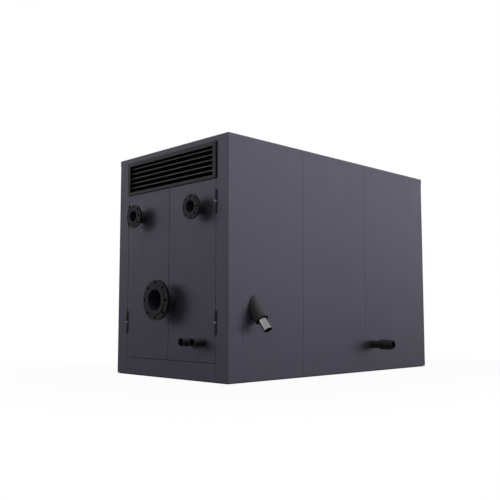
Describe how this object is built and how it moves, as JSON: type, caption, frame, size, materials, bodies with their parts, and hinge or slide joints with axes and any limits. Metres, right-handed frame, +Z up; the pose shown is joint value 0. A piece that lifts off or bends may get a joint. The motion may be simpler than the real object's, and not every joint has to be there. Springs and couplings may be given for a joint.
{
  "type": "gas boiler",
  "caption": "Outdoor gas boiler cabinet of violet-grey sheet steel with a louvred front, hinged leaves, flanged pipe stubs through the front and insulated side connections.",
  "frame": {"origin": "middle of the cabinet's base at ground level", "axes": "+Z up, -Y out of the louvred front, +X out of the side with the two side pipes"},
  "size_m": [1.85, 3.132, 2.112],
  "materials": {
    "cabinet_paint": "satin powder coat, violet grey",
    "trim_paint": "satin powder coat, darker violet grey",
    "louvre_paint": "satin powder coat, charcoal",
    "pipe_paint": "matt heat-resistant paint, charcoal",
    "hinge_black": "matt dark grey paint",
    "washer_steel": "dull zinc",
    "pipe_steel": "bright galvanised",
    "insulation": "matt elastomer foam",
    "coupling_black": "matt black, dusty",
    "base_primer": "matt dark primer",
    "floor_steel": "matt grey primer"
  },
  "bodies": {
    "root": {"base_frame": "base_primer", "floor_plate": "floor_steel", "roof_cap": "cabinet_paint", "front_left_post": "cabinet_paint", "front_right_post": "cabinet_paint", "rear_left_post": "cabinet_paint", "rear_right_post": "cabinet_paint", "front_sill": "cabinet_paint", "door_head": "cabinet_paint", "front_head": "cabinet_paint", "left_door": "cabinet_paint", "right_door": "cabinet_paint", "louvre_frame": "louvre_paint", "louvre_blades": "louvre_paint", "left_lower_hinge": "hinge_black", "left_upper_hinge": "hinge_black", "right_lower_hinge": "hinge_black", "right_upper_hinge": "hinge_black", "hinge_washers": "washer_steel", "left_edge_trim": "trim_paint", "left_corner_cover": "cabinet_paint", "left_front_panel": "cabinet_paint", "left_middle_panel": "cabinet_paint", "left_rear_panel": "cabinet_paint", "right_edge_trim": "trim_paint", "right_corner_cover": "cabinet_paint", "right_front_panel": "cabinet_paint", "right_middle_panel": "cabinet_paint", "right_rear_panel": "cabinet_paint", "rear_left_panel": "cabinet_paint", "rear_right_panel": "cabinet_paint", "upper_left_pipe": "pipe_paint", "upper_left_flange": "pipe_paint", "upper_right_pipe": "pipe_paint", "upper_right_flange": "pipe_paint", "main_pipe": "pipe_paint", "main_flange": "pipe_paint", "left_drain_stub": "pipe_paint", "right_drain_stub": "pipe_paint", "side_pipe": "pipe_steel", "side_sleeve": "insulation", "rear_pipe": "coupling_black", "rear_coupling": "coupling_black"}
  },
  "joints": []
}
